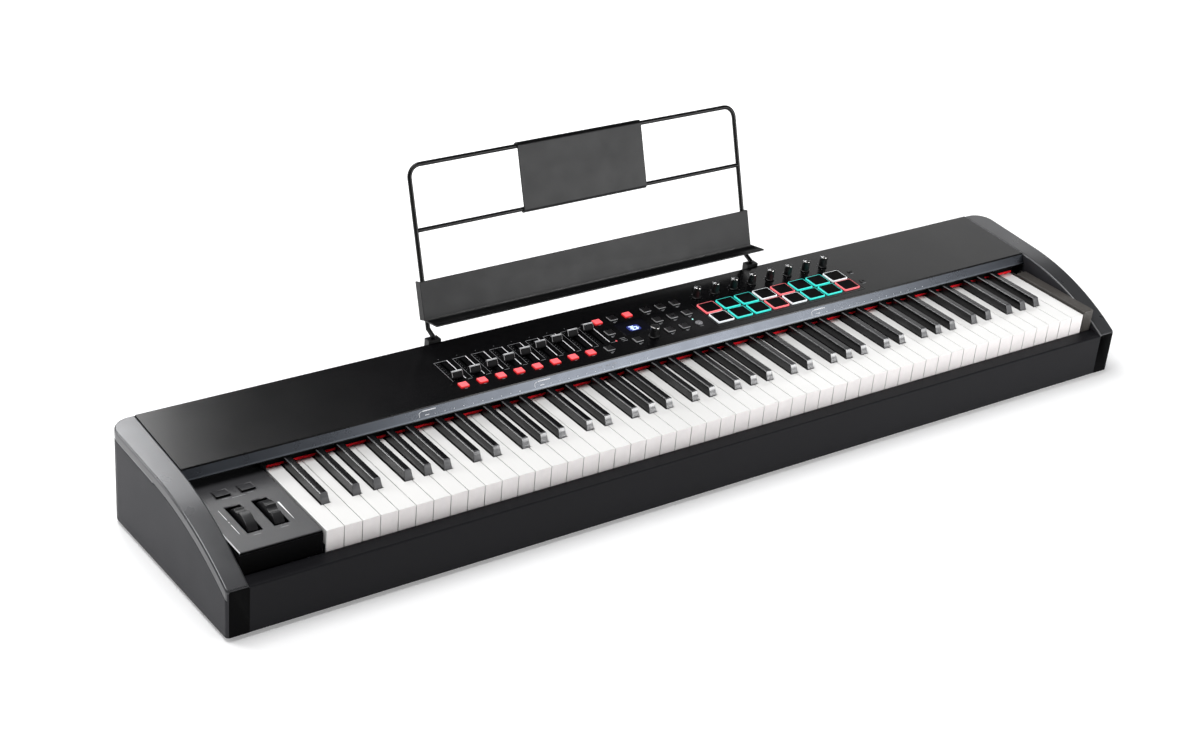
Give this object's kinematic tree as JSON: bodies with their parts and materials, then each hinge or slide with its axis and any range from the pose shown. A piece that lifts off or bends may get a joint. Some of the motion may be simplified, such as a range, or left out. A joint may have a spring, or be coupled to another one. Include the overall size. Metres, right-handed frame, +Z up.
{
  "type": "midi keyboard",
  "caption": "Full-size piano-style midi keyboard controller with pitch and mod wheels, faders, knobs, lit pads, a small display and a wire music stand.",
  "frame": {"origin": "on the surface it stands on, under the middle of the bounding box of the keyboard with its music stand", "axes": "+X along the keys from bass to treble, +Y from the player to the rear, +Z up"},
  "size_m": [1.418, 0.3906, 0.3468],
  "materials": {
    "case_black": "satin",
    "panel_black": "satin",
    "cheek_grey": "satin",
    "wheel_panel_grey": "textured",
    "key_white": "gloss",
    "key_black": "satin",
    "weight_steel": "raw",
    "chassis_steel": "raw",
    "board_green": "satin",
    "lens_dark": "polished",
    "connector_black": "satin",
    "rubber_black": "matte",
    "screw_steel": "satin",
    "stand_wire": "satin",
    "stand_sheet": "satin",
    "wheel_black": "satin",
    "control_black": "satin",
    "fader_grey": "satin",
    "pad_rubber": "matte",
    "lit_red": "lit"
  },
  "bodies": {
    "root": {"base_pan": "case_black", "front_rail": "case_black", "top_panel": "panel_black", "left_cheek": "cheek_grey", "right_cheek": "cheek_grey", "wheel_panel": "wheel_panel_grey", "key_end_block": "case_black", "key_bed": "chassis_steel", "circuit_boards": "board_green", "display_lens": "lens_dark", "rear_connectors": "connector_black", "rubber_feet": "rubber_black", "case_screws": "screw_steel", "stand_sockets": "connector_black"},
    "music_stand": {"stand_frame": "stand_wire", "stand_shelf": "stand_sheet", "stand_plate": "stand_sheet"},
    "pitch_wheel": {"pitch_wheel": "wheel_black"},
    "mod_wheel": {"mod_wheel": "wheel_black"},
    "keys_low": {"white_keys_low": "key_white", "black_keys_low": "key_black", "key_weights_low": "weight_steel"},
    "keys_high": {"white_keys_high": "key_white", "black_keys_high": "key_black", "key_weights_high": "weight_steel"},
    "key_c4": {"key_c4": "key_white"},
    "key_c_sharp4": {"key_c_sharp4": "key_black"},
    "key_d4": {"key_d4": "key_white"},
    "key_d_sharp4": {"key_d_sharp4": "key_black"},
    "key_e4": {"key_e4": "key_white"},
    "key_f4": {"key_f4": "key_white"},
    "key_f_sharp4": {"key_f_sharp4": "key_black"},
    "key_g4": {"key_g4": "key_white"},
    "key_g_sharp4": {"key_g_sharp4": "key_black"},
    "key_a4": {"key_a4": "key_white"},
    "key_a_sharp4": {"key_a_sharp4": "key_black"},
    "key_b4": {"key_b4": "key_white"},
    "encoder_knob": {"encoder_knob": "control_black"},
    "pads": {"pads": "pad_rubber"},
    "lit_buttons": {"lit_buttons": "lit_red"},
    "panel_buttons": {"panel_buttons": "control_black"},
    "octave_buttons": {"octave_buttons": "wheel_panel_grey"},
    "power_switch": {"power_switch": "control_black"},
    "knob_1": {"knob_1": "control_black"},
    "knob_2": {"knob_2": "control_black"},
    "knob_3": {"knob_3": "control_black"},
    "knob_4": {"knob_4": "control_black"},
    "knob_5": {"knob_5": "control_black"},
    "knob_6": {"knob_6": "control_black"},
    "knob_7": {"knob_7": "control_black"},
    "knob_8": {"knob_8": "control_black"},
    "fader_1": {"fader_1": "fader_grey"},
    "fader_2": {"fader_2": "fader_grey"},
    "fader_3": {"fader_3": "fader_grey"},
    "fader_4": {"fader_4": "fader_grey"},
    "fader_5": {"fader_5": "fader_grey"},
    "fader_6": {"fader_6": "fader_grey"},
    "fader_7": {"fader_7": "fader_grey"},
    "fader_8": {"fader_8": "fader_grey"},
    "fader_9": {"fader_9": "fader_grey"}
  },
  "joints": [
    {"name": "stand_lift", "type": "slide", "parent": "root", "child": "music_stand", "axis": [0, 0, 1], "range_m": [0, 0.03]},
    {"name": "pitch_wheel_turn", "type": "hinge", "parent": "root", "child": "pitch_wheel", "pos_m": [-0.638, -0.10776, 0.075], "axis": [1, 0, 0], "range_deg": [-35, 35], "stiffness_Nm_per_rad": 0.05},
    {"name": "mod_wheel_turn", "type": "hinge", "parent": "root", "child": "mod_wheel", "pos_m": [-0.6045, -0.10776, 0.075], "axis": [1, 0, 0], "range_deg": [-55, 0]},
    {"name": "key_c4_press", "type": "hinge", "parent": "root", "child": "key_c4", "pos_m": [0, 0.03274, 0.081], "axis": [1, 0, 0], "range_deg": [0, 2.8], "stiffness_Nm_per_rad": 0.8, "springref_deg": -9.74},
    {"name": "key_c_sharp4_press", "type": "hinge", "parent": "root", "child": "key_c_sharp4", "pos_m": [0, 0.03274, 0.081], "axis": [1, 0, 0], "range_deg": [0, 2.8], "stiffness_Nm_per_rad": 0.8, "springref_deg": -9.74},
    {"name": "keys_low_press", "type": "hinge", "parent": "root", "child": "keys_low", "pos_m": [0, 0.03274, 0.081], "axis": [1, 0, 0], "range_deg": [0, 2.8], "stiffness_Nm_per_rad": 31.2, "springref_deg": -9.74},
    {"name": "keys_high_press", "type": "hinge", "parent": "root", "child": "keys_high", "pos_m": [0, 0.03274, 0.081], "axis": [1, 0, 0], "range_deg": [0, 2.8], "stiffness_Nm_per_rad": 29.6, "springref_deg": -9.74},
    {"name": "fader_1_slide", "type": "slide", "parent": "root", "child": "fader_1", "axis": [0, 0.9986, 0.0523], "range_m": [-0.0045, 0.0355]},
    {"name": "fader_5_slide", "type": "slide", "parent": "root", "child": "fader_5", "axis": [0, 0.9986, 0.0523], "range_m": [-0.018, 0.022]},
    {"name": "fader_9_slide", "type": "slide", "parent": "root", "child": "fader_9", "axis": [0, 0.9986, 0.0523], "range_m": [-0.036, 0.004]},
    {"name": "knob_1_turn", "type": "hinge", "parent": "root", "child": "knob_1", "pos_m": [0.131, 0.06498, 0.13253], "axis": [0, -0.0523, 0.9986], "range_deg": [-150, 150]},
    {"name": "encoder_turn", "type": "hinge", "parent": "root", "child": "encoder_knob", "pos_m": [0.014, 0.00248, 0.12925], "axis": [0, -0.0523, 0.9986], "continuous": true},
    {"name": "pads_press", "type": "slide", "parent": "root", "child": "pads", "axis": [0, 0.0523, -0.9986], "range_m": [0, 0.001], "stiffness_N_per_m": 4000, "springref_m": -0.0005},
    {"name": "lit_buttons_press", "type": "slide", "parent": "root", "child": "lit_buttons", "axis": [0, 0.0523, -0.9986], "range_m": [0, 0.001], "stiffness_N_per_m": 2000, "springref_m": -0.0005},
    {"name": "panel_buttons_press", "type": "slide", "parent": "root", "child": "panel_buttons", "axis": [0, 0.0523, -0.9986], "range_m": [0, 0.001], "stiffness_N_per_m": 2000, "springref_m": -0.0005},
    {"name": "octave_buttons_press", "type": "slide", "parent": "root", "child": "octave_buttons", "axis": [0, 0, -1], "range_m": [0, 0.0012], "stiffness_N_per_m": 1000, "springref_m": -0.0005},
    {"name": "power_switch_rock", "type": "hinge", "parent": "root", "child": "power_switch", "pos_m": [-0.288, 0.10074, 0.039], "axis": [1, 0, 0], "range_deg": [-10, 0]},
    {"name": "key_d4_press", "type": "hinge", "parent": "root", "child": "key_d4", "pos_m": [0, 0.03274, 0.081], "axis": [1, 0, 0], "range_deg": [0, 2.8], "stiffness_Nm_per_rad": 0.8, "springref_deg": -9.74},
    {"name": "key_d_sharp4_press", "type": "hinge", "parent": "root", "child": "key_d_sharp4", "pos_m": [0, 0.03274, 0.081], "axis": [1, 0, 0], "range_deg": [0, 2.8], "stiffness_Nm_per_rad": 0.8, "springref_deg": -9.74},
    {"name": "key_e4_press", "type": "hinge", "parent": "root", "child": "key_e4", "pos_m": [0, 0.03274, 0.081], "axis": [1, 0, 0], "range_deg": [0, 2.8], "stiffness_Nm_per_rad": 0.8, "springref_deg": -9.74},
    {"name": "key_f4_press", "type": "hinge", "parent": "root", "child": "key_f4", "pos_m": [0, 0.03274, 0.081], "axis": [1, 0, 0], "range_deg": [0, 2.8], "stiffness_Nm_per_rad": 0.8, "springref_deg": -9.74},
    {"name": "key_f_sharp4_press", "type": "hinge", "parent": "root", "child": "key_f_sharp4", "pos_m": [0, 0.03274, 0.081], "axis": [1, 0, 0], "range_deg": [0, 2.8], "stiffness_Nm_per_rad": 0.8, "springref_deg": -9.74},
    {"name": "key_g4_press", "type": "hinge", "parent": "root", "child": "key_g4", "pos_m": [0, 0.03274, 0.081], "axis": [1, 0, 0], "range_deg": [0, 2.8], "stiffness_Nm_per_rad": 0.8, "springref_deg": -9.74},
    {"name": "key_g_sharp4_press", "type": "hinge", "parent": "root", "child": "key_g_sharp4", "pos_m": [0, 0.03274, 0.081], "axis": [1, 0, 0], "range_deg": [0, 2.8], "stiffness_Nm_per_rad": 0.8, "springref_deg": -9.74},
    {"name": "key_a4_press", "type": "hinge", "parent": "root", "child": "key_a4", "pos_m": [0, 0.03274, 0.081], "axis": [1, 0, 0], "range_deg": [0, 2.8], "stiffness_Nm_per_rad": 0.8, "springref_deg": -9.74},
    {"name": "key_a_sharp4_press", "type": "hinge", "parent": "root", "child": "key_a_sharp4", "pos_m": [0, 0.03274, 0.081], "axis": [1, 0, 0], "range_deg": [0, 2.8], "stiffness_Nm_per_rad": 0.8, "springref_deg": -9.74},
    {"name": "key_b4_press", "type": "hinge", "parent": "root", "child": "key_b4", "pos_m": [0, 0.03274, 0.081], "axis": [1, 0, 0], "range_deg": [0, 2.8], "stiffness_Nm_per_rad": 0.8, "springref_deg": -9.74},
    {"name": "fader_2_slide", "type": "slide", "parent": "root", "child": "fader_2", "axis": [0, 0.9986, 0.0523], "range_m": [-0.0065, 0.0335]},
    {"name": "fader_3_slide", "type": "slide", "parent": "root", "child": "fader_3", "axis": [0, 0.9986, 0.0523], "range_m": [-0.01, 0.03]},
    {"name": "fader_4_slide", "type": "slide", "parent": "root", "child": "fader_4", "axis": [0, 0.9986, 0.0523], "range_m": [-0.0135, 0.0265]},
    {"name": "fader_6_slide", "type": "slide", "parent": "root", "child": "fader_6", "axis": [0, 0.9986, 0.0523], "range_m": [-0.024, 0.016]},
    {"name": "fader_7_slide", "type": "slide", "parent": "root", "child": "fader_7", "axis": [0, 0.9986, 0.0523], "range_m": [-0.0275, 0.0125]},
    {"name": "fader_8_slide", "type": "slide", "parent": "root", "child": "fader_8", "axis": [0, 0.9986, 0.0523], "range_m": [-0.0315, 0.0085]},
    {"name": "knob_2_turn", "type": "hinge", "parent": "root", "child": "knob_2", "pos_m": [0.1634, 0.06498, 0.13253], "axis": [0, -0.0523, 0.9986], "range_deg": [-150, 150]},
    {"name": "knob_3_turn", "type": "hinge", "parent": "root", "child": "knob_3", "pos_m": [0.1958, 0.06498, 0.13253], "axis": [0, -0.0523, 0.9986], "range_deg": [-150, 150]},
    {"name": "knob_4_turn", "type": "hinge", "parent": "root", "child": "knob_4", "pos_m": [0.2282, 0.06498, 0.13253], "axis": [0, -0.0523, 0.9986], "range_deg": [-150, 150]},
    {"name": "knob_5_turn", "type": "hinge", "parent": "root", "child": "knob_5", "pos_m": [0.2606, 0.06498, 0.13253], "axis": [0, -0.0523, 0.9986], "range_deg": [-150, 150]},
    {"name": "knob_6_turn", "type": "hinge", "parent": "root", "child": "knob_6", "pos_m": [0.293, 0.06498, 0.13253], "axis": [0, -0.0523, 0.9986], "range_deg": [-150, 150]},
    {"name": "knob_7_turn", "type": "hinge", "parent": "root", "child": "knob_7", "pos_m": [0.3254, 0.06498, 0.13253], "axis": [0, -0.0523, 0.9986], "range_deg": [-150, 150]},
    {"name": "knob_8_turn", "type": "hinge", "parent": "root", "child": "knob_8", "pos_m": [0.3578, 0.06498, 0.13253], "axis": [0, -0.0523, 0.9986], "range_deg": [-150, 150]}
  ]
}
